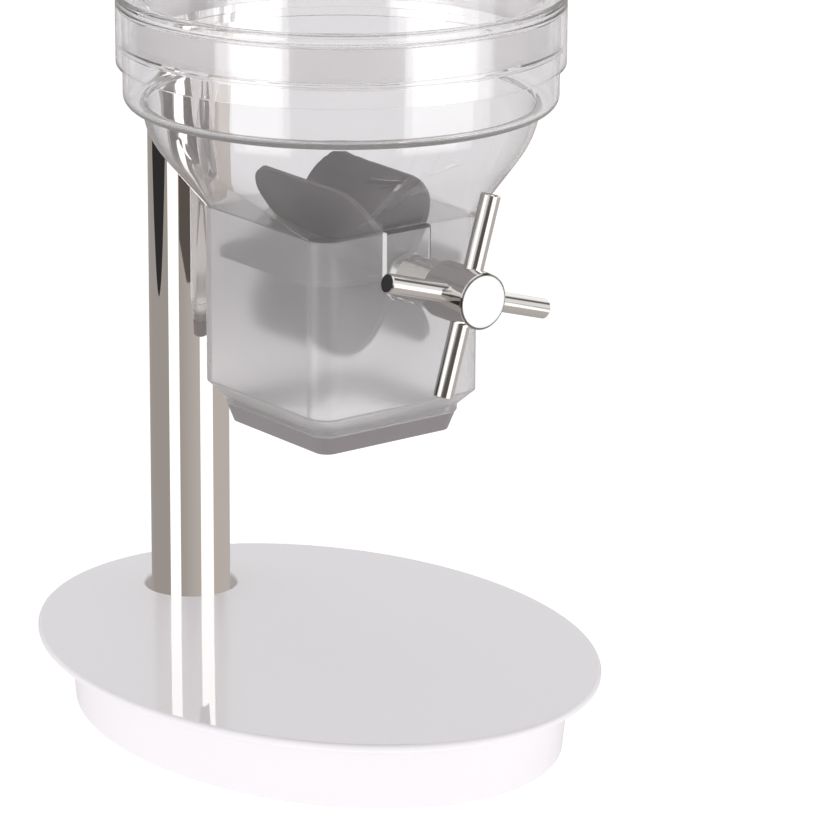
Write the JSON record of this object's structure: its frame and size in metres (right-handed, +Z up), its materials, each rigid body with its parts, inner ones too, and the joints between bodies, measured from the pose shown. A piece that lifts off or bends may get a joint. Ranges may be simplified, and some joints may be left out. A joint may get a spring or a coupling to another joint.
{
  "type": "cereal dispenser",
  "caption": "Countertop dry-food dispenser: oval white base, steel column, clear round hopper with square frosted outlet, paddle wheel and cross handle, lift-off lid.",
  "frame": {"origin": "middle of the base on the table plane, under the centre of the oval rim", "axes": "+Z up, -Y towards the user and the handle, X across the width of the base"},
  "size_m": [0.2376, 0.3052, 0.5255],
  "materials": {
    "base_white": "glossy melamine",
    "ballast_steel": "black oxide",
    "cover_plastic": "fine texture",
    "fastener_steel": "bright zinc",
    "foot_rubber": "matt",
    "column_steel": "polished",
    "brass_insert": "knurled",
    "clear_plastic": "clear, polished",
    "hopper_plastic": "clear above, frosted outlet box",
    "grey_silicone": "satin",
    "bush_acetal": "machined",
    "core_nylon": "moulded",
    "shaft_steel": "ground",
    "handle_chrome": "mirror chrome",
    "clip_steel": "black spring steel",
    "seal_silicone": "milky, satin"
  },
  "bodies": {
    "stand": {"base_shell": "base_white", "ballast_plate": "ballast_steel", "base_cover": "cover_plastic", "cover_screws": "fastener_steel", "rubber_feet": "foot_rubber", "column_tube": "column_steel", "column_foot": "fastener_steel", "column_bolt": "fastener_steel", "bolt_washer": "fastener_steel", "column_cap": "column_steel", "holder_ring": "clear_plastic", "clamp_insert": "brass_insert", "clamp_screw": "fastener_steel", "hopper": "hopper_plastic", "outlet_gasket": "grey_silicone", "front_bush": "bush_acetal", "rear_bush": "bush_acetal"},
    "rotor": {"paddle_wheel": "grey_silicone", "wheel_core": "core_nylon", "core_pin": "shaft_steel", "drive_shaft": "shaft_steel", "front_thrust_washer": "bush_acetal", "rear_thrust_washer": "bush_acetal", "rear_clip": "clip_steel", "handle_hub": "handle_chrome", "spoke_up": "handle_chrome", "spoke_left": "handle_chrome", "spoke_down": "handle_chrome", "spoke_right": "handle_chrome", "hub_cap": "handle_chrome", "hub_set_screw": "clip_steel"},
    "container": {"container": "clear_plastic", "neck_seal": "seal_silicone"},
    "lid": {"lid": "clear_plastic", "lid_seal": "seal_silicone", "lid_knob": "handle_chrome", "knob_screw": "fastener_steel"}
  },
  "joints": [
    {"name": "handle_turn", "type": "hinge", "parent": "stand", "child": "rotor", "pos_m": [0, -0.0189, 0.2281], "axis": [0, 1, 0], "continuous": true},
    {"name": "container_lift", "type": "slide", "parent": "stand", "child": "container", "axis": [0, 0, 1], "range_m": [0, 0.06]},
    {"name": "lid_lift", "type": "slide", "parent": "container", "child": "lid", "axis": [0, 0, 1], "range_m": [0, 0.05]}
  ]
}
